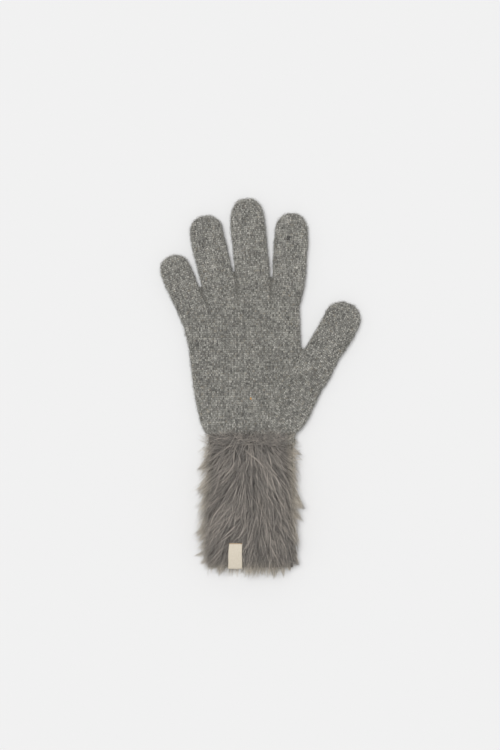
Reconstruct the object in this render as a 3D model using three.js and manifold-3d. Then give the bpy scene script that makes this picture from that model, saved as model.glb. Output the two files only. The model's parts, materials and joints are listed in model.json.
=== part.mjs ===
// A knit glove with a faux-fur cuff, lying flat as it does off the hand.
//
// Three pieces: knit_hand, the palm and five fingers knitted in one piece, an open bag of fabric;
// fur_cuff, a tube of faux fur whose pile is fused in locks to its backing; and hem_label, a plain
// woven tape folded over the hem of the cuff. Sizes are millimetres. +Z is up from the surface that
// the glove lies on, +Y runs towards the fingertips and +X towards the thumb. The origin lies on
// that surface, under the middle of the palm.

import * as THREE from "three";
import Module from "manifold-3d";
import { mergeVertices } from "three/addons/utils/BufferGeometryUtils.js";

// Knitted fabric
const knitWall = 1.5;

// Palm, from the seam at the wrist to the line that the fingers grow from
const originToWrist = 47;
const palmLength = 112;
const palmWidth = 94;
const palmThickness = 12;

// Wrist
const wristWidth = 73;
const wristThickness = 12.5;
const wristShift = 0.6;

// Fingers: length from the root inside the palm to the tip, and width lying flat
const fingerThickness = 11;
const littleLength = 63.4;
const littleWidth = 26;
const ringLength = 81.6;
const ringWidth = 28.6;
const middleLength = 91.6;
const middleWidth = 28.8;
const indexLength = 79.4;
const indexWidth = 28.2;
const thumbLength = 79.4;
const thumbWidth = 31.2;

// Fur cuff
const seamGap = 0.3;
const cuffLength = 105.5;
const backingWall = 2;
const hemWidth = 76;
const hemShift = 0.6;
const pileOver = 8.6;
const pileBeside = 4.6;
const pileUnder = 1;
const lockLength = 19;
const hemFringe = 9;
const lockWidth = 10;
const lockThickness = 3.8;
const lockFan = 24;
const lockPitch = 11.8;
const locksAround = 13;

// Label
const labelWidth = 11.2;
const labelFront = 20.6;
const labelBack = 15;
const labelThickness = 1;
const labelRise = 4.2;
const labelShift = -11.8;
const labelGap = 0.3;

// Sides of the palm's, the cuff's and the fingers' sections
const palmSides = 24;
const cuffSides = 20;
const fingerSides = 14;

const { degToRad, lerp, clamp, seededRandom } = THREE.MathUtils;

// The palm lies along +Y. rise is a share of its length. left and right are shares of its width,
// measured from the origin, and thick is a share of its thickness. The wrist adds its own section
// below these, and lift says how much of the wrist's height over the surface a section keeps.
const palmSections = [
  { rise: 0.045, left: 0.413, right: 0.455, thick: 1.04, lift: 0.8 },
  { rise: 0.11, left: 0.438, right: 0.51, thick: 1.0, lift: 0.5 },
  { rise: 0.2, left: 0.464, right: 0.562, thick: 0.97, lift: 0.2 },
  { rise: 0.3, left: 0.484, right: 0.612, thick: 0.98, lift: 0.0 },
  { rise: 0.39, left: 0.499, right: 0.62, thick: 1.0, lift: 0.0 },
  { rise: 0.48, left: 0.511, right: 0.56, thick: 1.0, lift: 0.0 },
  { rise: 0.56, left: 0.521, right: 0.475, thick: 0.98, lift: 0.0 },
  { rise: 0.63, left: 0.531, right: 0.442, thick: 0.97, lift: 0.0 },
  { rise: 0.72, left: 0.558, right: 0.438, thick: 0.97, lift: 0.0 },
  { rise: 0.8, left: 0.572, right: 0.444, thick: 0.96, lift: 0.0 },
  { rise: 0.9, left: 0.51, right: 0.446, thick: 0.95, lift: 0.0 },
  { rise: 1.0, left: 0.42, right: 0.37, thick: 0.9, lift: 0.0 },
];

// x is the finger's root across the palm, a share of its width, and up is the root's height as a
// share of its length. The leans are the finger's angle from +Y, positive towards the thumb.
const fingers = [
  { x: -0.42, up: 0.75, length: littleLength, width: littleWidth, leanRoot: -24, leanTip: -22 },
  { x: -0.192, up: 0.85, length: ringLength, width: ringWidth, leanRoot: -19, leanTip: -6 },
  { x: 0.051, up: 0.87, length: middleLength, width: middleWidth, leanRoot: -5.4, leanTip: -5.2 },
  { x: 0.312, up: 0.87, length: indexLength, width: indexWidth, leanRoot: 3, leanTip: 4.4 },
  { x: 0.432, up: 0.32, length: thumbLength, width: thumbWidth, leanRoot: 35.5, leanTip: 23 },
];

// along is a share of the finger's length up to its round tip, width and thick are shares of the
// finger's own.
const fingerSections = [
  { along: 0, width: 0.76, thick: 0.8 },
  { along: 0.14, width: 0.97, thick: 0.94 },
  { along: 0.3, width: 1.03, thick: 1 },
  { along: 0.46, width: 1.01, thick: 1 },
  { along: 0.64, width: 1, thick: 1 },
  { along: 0.82, width: 1, thick: 1 },
  { along: 1, width: 0.98, thick: 1 },
];

// The round tip: reach is a share of its depth, and tipDepth that depth as a share of the finger's
// half width.
const tipDepth = 0.86;
const tipSections = [
  { reach: 0.3, width: 0.93, thick: 0.97 },
  { reach: 0.58, width: 0.79, thick: 0.9 },
  { reach: 0.82, width: 0.57, thick: 0.78 },
  { reach: 0.96, width: 0.31, thick: 0.62 },
];

// How square a lying tube of fabric is, over and under its widest line, and how far its underside
// is pressed flat, as a share of half its height
const squareOver = 2.6;
const squareUnder = 3;
const pressed = 0.3;

// The point of a section at an angle around it: side is across, height is from the surface.
function outlinePoint(section, angle) {
  const c = Math.cos(angle);
  const s = Math.sin(angle);
  const power = 2 / (s > 0 ? squareOver : squareUnder);
  const half = (section.top - section.bottom) / 2;
  const middle = section.bottom + half;
  const side = Math.sign(c) * Math.abs(c) ** power * section.half;
  const reach = Math.sign(s) * Math.abs(s) ** power * half;
  const height = s > 0 ? middle + reach : Math.max(section.bottom, middle + reach * (1 + pressed));
  return { side, height };
}

function placed(section, side, height) {
  return new THREE.Vector3(
    section.x + side * Math.cos(section.lean),
    section.y - side * Math.sin(section.lean),
    height,
  );
}

function ring(section, sides) {
  const points = [];
  for (let i = 0; i < sides; i++) {
    const p = outlinePoint(section, ((i + 0.5) / sides) * 2 * Math.PI);
    points.push(placed(section, p.side, p.height));
  }
  return points;
}

// A closed skin through rings of points that run clockwise seen from where it leads. Its ends close
// in a fan to a point each.
function skin(rings, start, end) {
  const positions = [];
  const triangle = (a, b, c) => positions.push(...a.toArray(), ...b.toArray(), ...c.toArray());
  const count = rings[0].length;
  for (let i = 0; i < count; i++) {
    const j = (i + 1) % count;
    triangle(start, rings[0][i], rings[0][j]);
    for (let r = 0; r + 1 < rings.length; r++) {
      triangle(rings[r][i], rings[r + 1][j], rings[r][j]);
      triangle(rings[r][i], rings[r + 1][i], rings[r + 1][j]);
    }
    triangle(end, rings[rings.length - 1][j], rings[rings.length - 1][i]);
  }
  const geometry = new THREE.BufferGeometry();
  geometry.setAttribute("position", new THREE.Float32BufferAttribute(positions, 3));
  return geometry;
}

function centre(points) {
  const sum = points.reduce((a, b) => a.add(b), new THREE.Vector3());
  return sum.divideScalar(points.length);
}

const wasm = await Module();
wasm.setup();

function solid(geometry) {
  const bare = geometry.index ? geometry.toNonIndexed() : geometry.clone();
  bare.deleteAttribute("normal");
  bare.deleteAttribute("uv");
  const merged = mergeVertices(bare, 1e-4);
  return new wasm.Manifold(new wasm.Mesh({
    numProp: 3,
    vertProperties: new Float32Array(merged.attributes.position.array),
    triVerts: new Uint32Array(merged.index.array),
  }));
}

function joined(solids) {
  return solids.reduce((a, b) => a.add(b));
}

function geometryOf(body) {
  const { vertProperties, triVerts } = body.getMesh();
  const geometry = new THREE.BufferGeometry();
  geometry.setAttribute("position", new THREE.BufferAttribute(vertProperties, 3));
  geometry.setIndex([...triVerts]);
  return geometry;
}

// The widest skin of a body alone. Locks that cross can close off small pockets of air between
// them, and a pocket is a skin of its own, touching no other.
function withoutPockets(geometry) {
  const corners = geometry.index.array;
  const leader = Array.from({ length: geometry.attributes.position.count }, (_, i) => i);
  const find = (i) => {
    while (leader[i] !== i) {
      leader[i] = leader[leader[i]];
      i = leader[i];
    }
    return i;
  };
  for (let t = 0; t < corners.length; t += 3) {
    leader[find(corners[t + 1])] = find(corners[t]);
    leader[find(corners[t + 2])] = find(corners[t]);
  }
  const sizes = new Map();
  for (const i of corners) sizes.set(find(i), (sizes.get(find(i)) ?? 0) + 1);
  const widest = [...sizes].reduce((a, b) => (b[1] > a[1] ? b : a))[0];
  geometry.setIndex([...corners].filter((i) => find(i) === widest));
  return geometry;
}

function named(name, geometry, look) {
  geometry.computeVertexNormals();
  const mesh = new THREE.Mesh(geometry, new THREE.MeshStandardMaterial(look));
  mesh.name = name;
  return mesh;
}

// A tube of fabric through its sections. Given a wall, it is the hollow inside that wall instead.
function tube(sections, sides, wall = 0) {
  const rings = sections.map((s) => ring({
    ...s,
    half: s.half - wall,
    bottom: s.bottom + wall,
    top: s.top - wall,
  }, sides));
  return solid(skin(rings, centre(rings[0]), centre(rings[rings.length - 1])));
}

const wristY = -originToWrist;
const wristSection = {
  x: wristShift,
  y: wristY,
  lean: 0,
  half: wristWidth / 2,
  bottom: pileUnder,
  top: pileUnder + wristThickness,
};

function palm(wall) {
  const sections = palmSections.map((s) => ({
    x: ((s.right - s.left) * palmWidth) / 2,
    y: wristY + s.rise * palmLength,
    lean: 0,
    half: ((s.left + s.right) * palmWidth) / 2,
    bottom: s.lift * pileUnder,
    top: s.lift * pileUnder + s.thick * palmThickness,
  }));
  // The hollow runs out through the seam, and stops a wall short of the palm's far end.
  const past = { ...wristSection, y: wristY - wall };
  const start = wall > 0 ? [past, wristSection] : [wristSection];
  const last = sections[sections.length - 1];
  last.y -= wall;
  return tube([...start, ...sections], palmSides, wall);
}

function finger(f, wall) {
  const half = f.width / 2;
  const tip = half * tipDepth;
  const straight = f.length - tip;
  const lean = (along) => degToRad(lerp(f.leanRoot, f.leanTip, along / f.length));
  // The middle line bends evenly, so up to any point its mean lean is the lean half way there.
  const section = (along, width, thick) => ({
    x: f.x * palmWidth + along * Math.sin(lean(along / 2)),
    y: wristY + f.up * palmLength + along * Math.cos(lean(along / 2)),
    lean: lean(along),
    half: half * width,
    bottom: 0,
    top: fingerThickness * thick,
  });
  const shaft = fingerSections.map((s) => section(s.along * straight, s.width, s.thick));
  // Inside, the round tip is a wall narrower and a wall less deep, so it starts at the same place.
  const inside = (half - wall) / half;
  const end = tipSections.map((s) => {
    const made = section(straight + s.reach * (tip - wall), s.width, s.thick);
    made.half = half * s.width * inside + wall;
    return made;
  });
  return tube([...shaft, ...end], fingerSides, wall);
}

function knitHand() {
  const outside = joined([palm(0), ...fingers.map((f) => finger(f, 0))]);
  const inside = joined([palm(knitWall), ...fingers.map((f) => finger(f, knitWall))]);
  return outside.subtract(inside);
}

// The backing of the fur: a section at a share of the way from the seam to the hem.
function backingSection(share) {
  return {
    x: lerp(wristShift, hemShift, share),
    y: wristY - seamGap - share * cuffLength,
    lean: 0,
    half: lerp(wristWidth, hemWidth, share) / 2,
    bottom: pileUnder,
    top: pileUnder + wristThickness,
  };
}

const hemY = backingSection(1).y;

// One lock of fur: a flat tapering blade that leaves its root along one way and ends along another.
// It has a shoulder, where it is widest, and a point. Where it is pressed to the surface that the
// glove lies on, it lies flat there.
const lockRows = [
  { along: 0, width: 0.62, thick: 0.9 },
  { along: 0.36, width: 1, thick: 1 },
  { along: 0.74, width: 0.74, thick: 0.66 },
];

// A share of a lock's thickness that stays under its middle line where it is pressed flat
const lockUnder = 0.3;

// How much steeper than the whole lock its root stands off the backing, and its point, and between
// which slopes the whole lock stands
const rootSteepness = 1.75;
const pointSteepness = 0.35;
const flattest = 0.05;
const steepest = 0.9;

// Where the first row of locks starts, as a share of a row
const firstRow = 0.42;

// How far a lock may stray from its row, from its place round the cuff, from its heading in degrees,
// and from its usual sizes, as shares of these
const strays = { row: 0.17, place: 0.15, heading: 9, pile: 0.12, length: 0.18, width: 0.2, thickness: 0.15 };

function lock(root, outward, leave, trail, length, width, thickness) {
  const at = (t) => {
    const p = root.clone().addScaledVector(leave, length * (t - (t * t) / 2));
    p.addScaledVector(trail, (length * t * t) / 2);
    p.z = Math.max(p.z, thickness * lockUnder);
    return p;
  };
  const rings = lockRows.map((row) => {
    const heading = leave.clone().lerp(trail, row.along).normalize();
    const across = heading.clone().cross(outward).normalize();
    const up = across.clone().cross(heading).normalize();
    return [[1, 0], [0, 1], [-1, 0], [0, -1]].map(([a, b]) => {
      const p = at(row.along).addScaledVector(across, (a * width * row.width) / 2);
      p.addScaledVector(up, (b * thickness * row.thick) / 2);
      p.z = Math.max(p.z, 0);
      return p;
    });
  });
  return solid(skin(rings, at(0), at(1)));
}

function furLocks() {
  seededRandom(7);
  const stray = (most) => (seededRandom() * 2 - 1) * most;
  const rows = Math.round(cuffLength / lockPitch);
  const locks = [];
  for (let r = 0; r < rows; r++) {
    for (let k = 0; k < locksAround; k++) {
      // Every other row is set half a lock round, and each lock strays a little from its place.
      const section = backingSection((r + firstRow + stray(strays.row)) / rows);
      const turn = ((k + (r % 2) / 2 + stray(strays.place)) / locksAround) * 2 * Math.PI;
      const here = outlinePoint(section, turn);
      const next = outlinePoint(section, turn + 1 / locksAround);
      const outward = new THREE.Vector3(next.height - here.height, 0, here.side - next.side).normalize();
      const root = placed(section, here.side, here.height).addScaledVector(outward, -backingWall / 2);
      // The pile stands highest on top, less at the sides, and is pressed flat underneath.
      const upright = Math.abs(outward.z);
      const usual = lerp(pileBeside, outward.z > 0 ? pileOver : pileUnder, upright);
      const pile = usual * (1 + stray(strays.pile));
      const length = Math.min(lockLength, root.y - hemY + hemFringe) * (1 + stray(strays.length));
      const climb = (pile + backingWall / 2 - lockThickness * lockUnder) / length;
      const stand = clamp(climb, flattest, steepest);
      // On top the locks fan out from the middle, towards both sides.
      const fan = Math.max(0, outward.z) * (here.side / section.half) * lockFan;
      const way = new THREE.Vector3(Math.tan(degToRad(fan + stray(strays.heading))), -1, 0);
      const leave = way.clone().addScaledVector(outward, stand * rootSteepness).normalize();
      const trail = way.clone().addScaledVector(outward, stand * pointSteepness).normalize();
      const width = lockWidth * (1 + stray(strays.width));
      const thickness = lockThickness * (1 + stray(strays.thickness));
      locks.push(lock(root, outward, leave, trail, length, width, thickness));
    }
  }
  return joined(locks);
}

// A slab as wide as the label and a little more each side, from its side view in Y and Z
function labelSlab(outline, more) {
  const shape = new THREE.Shape(outline.map(([y, z]) => new THREE.Vector2(y, z)));
  const slab = new THREE.ExtrudeGeometry(shape, { depth: labelWidth + 2 * more, bevelEnabled: false });
  // The shape's own axes are turned to Y and Z, and its depth runs along X.
  slab.applyMatrix4(new THREE.Matrix4().makeBasis(
    new THREE.Vector3(0, 1, 0),
    new THREE.Vector3(0, 0, 1),
    new THREE.Vector3(1, 0, 0),
  ));
  slab.translate(labelShift - labelWidth / 2 - more, 0, 0);
  return slab;
}

// How high the hem's backing stands at a distance from its middle, outside it or inside its wall.
function hemHeight(side, wall) {
  const { half, bottom, top } = backingSection(1);
  const flat = 1 - (side / (half - wall)) ** squareOver;
  return (bottom + top) / 2 + ((top - bottom) / 2 - wall) * flat ** (1 / squareOver);
}

// How the label's front climbs over the pile: shares of its length from the hem, and of its rise
const labelClimb = [
  { back: 0.5, rise: 0.86 },
  { back: 0.18, rise: 0.36 },
];

// How round the label's fold is: a share of its distance from the hem
const foldCorner = 0.6;

// The label's middle line: down over the pile, round the hem and up inside the cuff.
function labelLine() {
  const away = labelGap + labelThickness / 2;
  const corner = foldCorner * away;
  const over = hemHeight(Math.max(0, Math.abs(labelShift) - labelWidth / 2), 0) + away;
  const under = hemHeight(Math.abs(labelShift) + labelWidth / 2, backingWall) - away;
  const foldY = hemY - away;
  return [
    [foldY - labelThickness / 2 + labelFront, over + labelRise],
    ...labelClimb.map((c) => [hemY + c.back * labelFront, over + c.rise * labelRise]),
    [foldY + corner, over],
    [foldY, over - corner],
    [foldY, under + corner],
    [foldY + corner, under],
    [hemY + labelBack, under],
  ];
}

// The line moved sideways by a distance, to its left as it runs, with its corners kept square.
function beside(line, distance) {
  const normals = line.slice(1).map((p, i) => {
    const along = new THREE.Vector2(p[0] - line[i][0], p[1] - line[i][1]).normalize();
    return new THREE.Vector2(-along.y, along.x);
  });
  return line.map((p, i) => {
    const before = normals[Math.max(0, i - 1)];
    const after = normals[Math.min(normals.length - 1, i)];
    const mitre = before.clone().add(after).normalize();
    const reach = distance / mitre.dot(before);
    return [p[0] + mitre.x * reach, p[1] + mitre.y * reach];
  });
}

function hemLabel() {
  const line = labelLine();
  const outline = [...beside(line, labelThickness / 2), ...beside(line, -labelThickness / 2).reverse()];
  return solid(labelSlab(outline, 0));
}

// The room that the label takes out of the pile: all that lies over its underside or past its fold.
function labelRoom() {
  const underside = beside(labelLine(), labelThickness / 2 + labelGap).slice(0, 5);
  const high = pileUnder + wristThickness + 3 * pileOver;
  const low = pileUnder + wristThickness - backingWall - 2 * labelGap - labelThickness;
  const top = underside[0][0] + labelGap;
  const far = hemY - 2 * lockLength;
  const outline = [[top, high], [top, underside[0][1]], ...underside, [hemY, low], [far, low], [far, high]];
  return solid(labelSlab(outline, labelGap));
}

function furCuff() {
  const shares = [1, 0.75, 0.5, 0.25, 0];
  const outside = tube(shares.map(backingSection), cuffSides);
  const past = (share, distance) => ({ ...backingSection(share), y: backingSection(share).y + distance });
  const inside = [past(1, -lockLength), ...shares.map(backingSection), past(0, seamGap)];
  const hollow = tube(inside, cuffSides, backingWall);
  // The pile is cut square at the seam, so that it stays off the knitting.
  const span = 4 * wristWidth;
  const seamY = backingSection(0).y;
  const beyondSeam = new THREE.BoxGeometry(span, span, span).translate(0, seamY + span / 2, 0);
  const pile = furLocks().subtract(labelRoom()).subtract(solid(beyondSeam));
  return outside.add(pile).subtract(hollow);
}

const heatherGrey = { color: 0x7e7d77, roughness: 0.95, metalness: 0 };
const warmGrey = { color: 0x706c66, roughness: 0.85, metalness: 0 };
const cream = { color: 0xd2c7b2, roughness: 0.9, metalness: 0 };

const glove = new THREE.Group();
glove.name = "glove";
glove.add(named("knit_hand", geometryOf(knitHand()), heatherGrey));
glove.add(named("fur_cuff", withoutPockets(geometryOf(furCuff())), warmGrey));
glove.add(named("hem_label", geometryOf(hemLabel()), cream));

export default glove;
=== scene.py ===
# %% [markdown]
# A knit glove with a faux-fur cuff.
# The frame holds the glove as plain solids: a hollow knitted hand, a fur tube and a label. This
# lesson dresses them: a knitted skin with every stitch as two legs of yarn, a cuff with thousands of
# hairs, and a woven tape. Everything is in metres, and the glove lies flat on z = 0 with its fingers
# along +Y and its thumb towards +X.

# %% Load the frame
import json
import math

import bmesh
import bpy
import numpy as np
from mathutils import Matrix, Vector
from mathutils.bvhtree import BVHTree

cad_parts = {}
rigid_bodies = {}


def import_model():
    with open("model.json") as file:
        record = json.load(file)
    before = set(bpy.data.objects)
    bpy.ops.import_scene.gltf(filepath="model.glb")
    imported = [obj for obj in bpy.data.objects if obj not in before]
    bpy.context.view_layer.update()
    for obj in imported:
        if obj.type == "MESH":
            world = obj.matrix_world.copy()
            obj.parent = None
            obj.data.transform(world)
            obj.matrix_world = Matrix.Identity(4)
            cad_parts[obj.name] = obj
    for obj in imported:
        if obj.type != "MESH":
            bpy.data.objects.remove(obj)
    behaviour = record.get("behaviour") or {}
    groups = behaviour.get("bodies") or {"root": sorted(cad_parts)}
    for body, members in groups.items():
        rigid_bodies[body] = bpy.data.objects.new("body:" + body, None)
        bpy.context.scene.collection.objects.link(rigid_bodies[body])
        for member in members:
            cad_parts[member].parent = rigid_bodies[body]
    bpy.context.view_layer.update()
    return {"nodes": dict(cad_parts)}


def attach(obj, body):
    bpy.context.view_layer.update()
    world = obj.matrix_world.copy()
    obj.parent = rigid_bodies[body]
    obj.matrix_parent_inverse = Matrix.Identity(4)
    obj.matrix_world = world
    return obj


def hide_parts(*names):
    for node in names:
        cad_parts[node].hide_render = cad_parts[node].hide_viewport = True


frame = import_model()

MM = 0.001

# %% [markdown]
# Small helpers come first. Blender's operators act on whatever is selected, so each step starts by
# selecting one object alone. Faces and points are then chosen in code by where they are.

# %% Helpers for working by hand
def only(piece):
    if bpy.context.object and bpy.context.object.mode != "OBJECT":
        bpy.ops.object.mode_set(mode="OBJECT")
    bpy.ops.object.select_all(action="DESELECT")
    piece.select_set(True)
    bpy.context.view_layer.objects.active = piece
    return piece


def new_piece(name):
    piece = bpy.context.object
    piece.name = name
    piece.data.name = name
    return only(piece)


def settle(piece):
    """Put a piece's place, turn and size into its mesh."""
    only(piece)
    bpy.ops.object.transform_apply(location=True, rotation=True, scale=True)
    return piece


def finish_with(piece, kind, **settings):
    """Add a modifier, set it and apply it."""
    only(piece)
    modifier = piece.modifiers.new(kind.title(), kind)
    for key, value in settings.items():
        setattr(modifier, key, value)
    bpy.ops.object.modifier_apply(modifier=modifier.name)
    return piece


def choose(piece, test, kind="FACE"):
    """Select the faces, edges or points of a piece that pass a test, in edit mode."""
    only(piece)
    bpy.ops.object.mode_set(mode="EDIT")
    bpy.ops.mesh.select_mode(type=kind)
    bpy.ops.mesh.select_all(action="DESELECT")
    work = bmesh.from_edit_mesh(piece.data)
    parts = {"FACE": work.faces, "EDGE": work.edges, "VERT": work.verts}[kind]
    chosen = 0
    for part in parts:
        if test(part):
            part.select_set(True)
            chosen += 1
    work.select_flush_mode()
    bmesh.update_edit_mesh(piece.data)
    return chosen


def done():
    bpy.ops.object.mode_set(mode="OBJECT")


def places(piece):
    """A piece's points as an array, a row for each."""
    flat = np.empty(len(piece.data.vertices) * 3)
    piece.data.vertices.foreach_get("co", flat)
    return flat.reshape(-1, 3)


def move_to(piece, points):
    piece.data.vertices.foreach_set("co", np.ascontiguousarray(points, dtype=np.float32).ravel())
    piece.data.update()


def triangle_count(piece):
    piece.data.calc_loop_triangles()
    return len(piece.data.loop_triangles)


# %% [markdown]
# The glove's own sizes. Each finger is a tube on a gently bent middle line. Its stitches follow that
# line, so the lesson keeps the same roots, lengths and leans that shaped the solid. The palm's
# stitches run straight up the hand, and the thumb's run along the thumb, down to the wrist: the two
# meet in a slanting line over the ball of the thumb.

# %% Sizes of the hand
WRIST_Y = -47 * MM
PALM_LENGTH = 112 * MM
PALM_WIDTH = 94 * MM

FINGERS = {
    "little": dict(x=-0.42, up=0.75, length=63.4, width=26.0, lean_root=-24, lean_tip=-22, base=50),
    "ring": dict(x=-0.192, up=0.85, length=81.6, width=28.6, lean_root=-19, lean_tip=-6, base=71),
    "middle": dict(x=0.051, up=0.87, length=91.6, width=28.8, lean_root=-5.4, lean_tip=-5.2, base=79),
    "index": dict(x=0.312, up=0.87, length=79.4, width=28.2, lean_root=3, lean_tip=4.4, base=67),
    "thumb": dict(x=0.432, up=0.32, length=79.4, width=31.2, lean_root=35.5, lean_tip=23, base=140),
}
FOUR_FINGERS = ("little", "ring", "middle", "index")
FINGER_SHARE = 0.56  # how far from its middle line a finger's stitches reach, as a share of its width
PAST_ENDS = 5 * MM  # how far a middle line is followed past its ends
LINE_STEPS = 90

# Where the thumb's stitches meet the palm's: a line from below the wrist to past the thumb's crotch.
THUMB_LINE = np.array([(9, -60), (17.6, -32), (30.4, 0.8), (41.4, 20), (52, 50), (62, 90)]) * MM
THUMB_TOP = 75 * MM


class MiddleLine:
    """A finger's middle line: where it runs, and which way, at each distance from its root."""

    def __init__(self, x, up, length, width, lean_root, lean_tip, base):
        self.root = np.array([x * PALM_WIDTH, WRIST_Y + up * PALM_LENGTH])
        self.length = length * MM
        self.width = width * MM
        self.leans = (math.radians(lean_root), math.radians(lean_tip))
        self.start = self.length - base * MM

    def lean(self, along):
        share = np.clip(along / self.length, 0, 1)
        return self.leans[0] + (self.leans[1] - self.leans[0]) * share

    def at(self, along):
        mean = self.lean(along / 2)
        return self.root + along * np.array([math.sin(mean), math.cos(mean)])

    def nearest(self, points):
        """How far along the line, and how far to its right, some points lie."""
        steps = np.linspace(min(self.start, 0) - PAST_ENDS, self.length + PAST_ENDS, LINE_STEPS)
        line = np.array([self.at(s) for s in steps])
        lean = self.lean(steps)
        ahead = np.stack([np.sin(lean), np.cos(lean)], axis=1)
        gap = points[:, None, :2] - line[None, :, :]
        near = np.argmin((gap**2).sum(axis=2), axis=1)
        offset = points[:, :2] - line[near]
        along = steps[near] + (offset * ahead[near]).sum(axis=1)
        right = offset[:, 0] * ahead[near, 1] - offset[:, 1] * ahead[near, 0]
        return along, right


lines = {name: MiddleLine(**sizes) for name, sizes in FINGERS.items()}
print("fingertips in mm:", {n: np.round(m.at(m.length) / MM, 1).tolist() for n, m in lines.items()})


def owners(points):
    """Which part of the hand each point's stitches belong to, by its place seen from above."""
    owner = np.full(len(points), "palm", dtype="<U6")
    edge = np.interp(points[:, 1], THUMB_LINE[:, 1], THUMB_LINE[:, 0])
    owner[(points[:, 0] > edge) & (points[:, 1] < THUMB_TOP)] = "thumb"
    best = np.full(len(points), FINGER_SHARE)
    for name in FOUR_FINGERS:
        along, right = lines[name].nearest(points)
        share = np.abs(right) / lines[name].width
        mine = (along > lines[name].start) & (share < best) & (owner != "thumb")
        owner[mine] = name
        best[mine] = share[mine]
    return owner


# %% [markdown]
# The real hand is one piece of knitting without a seam, so its skin starts from a copy of the solid
# and not from tubes put together. Doubled points are merged, and the rim at the wrist and the inner
# wall are taken away. The wrist is drawn out and closed, so that what follows can't round it off.

# %% Outer skin of the hand
def copy_of(name, node):
    piece = bpy.data.objects.new(name, frame["nodes"][node].data.copy())
    bpy.context.scene.collection.objects.link(piece)
    return only(piece)


TINY = 0.02 * MM
WRIST_EXTRA = 9 * MM
hand = copy_of("knit_fabric", "knit_hand")
choose(hand, lambda v: True, "VERT")
bpy.ops.mesh.remove_doubles(threshold=TINY / 4)
done()
choose(hand, lambda f: all(abs(v.co.y - WRIST_Y) < TINY for v in f.verts))
bpy.ops.mesh.delete(type="FACE")
done()
top_z = places(hand)[:, 2].max()
choose(hand, lambda v: v.co.z > top_z - TINY, "VERT")
bpy.ops.mesh.select_linked()
bpy.ops.mesh.select_all(action="INVERT")
bpy.ops.mesh.delete(type="VERT")
done()
choose(hand, lambda e: e.is_boundary, "EDGE")
bpy.ops.mesh.extrude_region_move(TRANSFORM_OT_translate={"value": (0, -WRIST_EXTRA, 0)})
bpy.ops.mesh.edge_face_add()
done()
print("closed skin:", triangle_count(hand), "triangles")

# %% [markdown]
# Between two fingers the real glove has a slit, which narrows down to the stitch where they meet. A
# wedge, made from a cube, cuts each slit with the Boolean modifier. A fine remesh then turns the
# solid's facets into soft fabric, and Smooth rounds what the cuts left sharp.

# %% Slits between the fingers
# The two ends of each slit, and its widths there, in mm.
SLITS = [
    dict(start=(-46.4, 92), end=(-39.2, 69), wide=(4.4, 1.2)),
    dict(start=(-18.4, 116), end=(-12.6, 79), wide=(3.8, 1.2)),
    dict(start=(16.7, 108), end=(17.0, 74), wide=(3.6, 1.2)),
]
SLIT_DEPTH = 40 * MM
SKIN_GRAIN = 0.7 * MM
for slit in SLITS:
    start, end = (np.array(slit[k]) * MM for k in ("start", "end"))
    bpy.ops.mesh.primitive_cube_add(size=1)
    blade = new_piece("slit")
    wedge = places(blade)
    wedge[:, 0] *= np.where(wedge[:, 1] < 0, *slit["wide"]) * MM
    move_to(blade, wedge)
    blade.scale = (1, np.linalg.norm(end - start), SLIT_DEPTH)
    blade.rotation_euler.z = math.atan2(start[0] - end[0], end[1] - start[1])
    blade.location = (*(start + end) / 2, 0)
    settle(blade)
    finish_with(hand, "BOOLEAN", operation="DIFFERENCE", object=blade, solver="EXACT")
    bpy.data.objects.remove(blade)
finish_with(hand, "REMESH", mode="VOXEL", voxel_size=SKIN_GRAIN)
finish_with(hand, "SMOOTH", factor=0.5, iterations=14)
print("outer skin:", triangle_count(hand), "triangles")

# %% [markdown]
# Where two fingers meet, the fabric dips: a crease runs from each crotch a little way into the palm,
# and one around the root of the thumb. The top of an empty glove is never quite flat either, so it
# gets slow, shallow waves. Its underside stays flat on the surface.

# %% Creases, waves and the uneven outline
# Each crease is a line from the crotch into the palm, in mm, with its depth.
CREASES = [
    dict(line=[(-39.6, 70.5), (-37.3, 65), (-33.4, 54), (-31.5, 47)], depth=2.1),
    dict(line=[(-12.6, 82.5), (-11.1, 76.6), (-9.6, 61.2), (-8.8, 52)], depth=2.2),
    dict(line=[(16.9, 76), (16.7, 71), (16.6, 60), (16.2, 52)], depth=2.0),
    dict(line=[(42.9, 21), (37.2, 12), (30.4, 0.8), (25, -10)], depth=0.8),
]
CREASE_WIDTH = 0.62 * MM
# Where the outline isn't as even as a tube's: a place, how far it is pushed, and how wide around it,
# in mm.
NUDGES = [
    dict(at=(44, 60), by=(-2.0, 0), wide=9),
    dict(at=(43.5, 43), by=(-0.9, 0), wide=8),
    dict(at=(-59, 49), by=(1.2, 0), wide=8),
    dict(at=(-52, 37), by=(-0.7, 0), wide=4),
    dict(at=(-36, 112), by=(-0.9, 0), wide=12),
    dict(at=(-25, 115), by=(-0.9, -0.5), wide=6),
    dict(at=(-15.5, 132), by=(0.8, -1.0), wide=5),
    dict(at=(10, 136), by=(-0.6, 0), wide=5),
    dict(at=(45, 122), by=(-1.0, 0), wide=6),
    dict(at=(72, 62), by=(0, -0.5), wide=9),
    dict(at=(56, 42), by=(0.9, -0.4), wide=8),
    dict(at=(72, 9), by=(-1.9, 1.0), wide=11),
    dict(at=(51, -27), by=(-0.6, 0.3), wide=10),
]
SLIMMER = 0.75 * MM  # the sides are drawn in by this much, because the stitches will stand out
WAVES = [  # height in mm, then waves per metre across and along, and where each starts
    dict(height=0.42, across=17, along=-9, start=0.4),
    dict(height=0.30, across=-11, along=23, start=2.1),
    dict(height=0.22, across=34, along=19, start=4.0),
    dict(height=0.12, across=-52, along=61, start=1.2),
]
print("creases, pushes and waves:", len(CREASES), len(NUDGES), len(WAVES))

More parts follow.
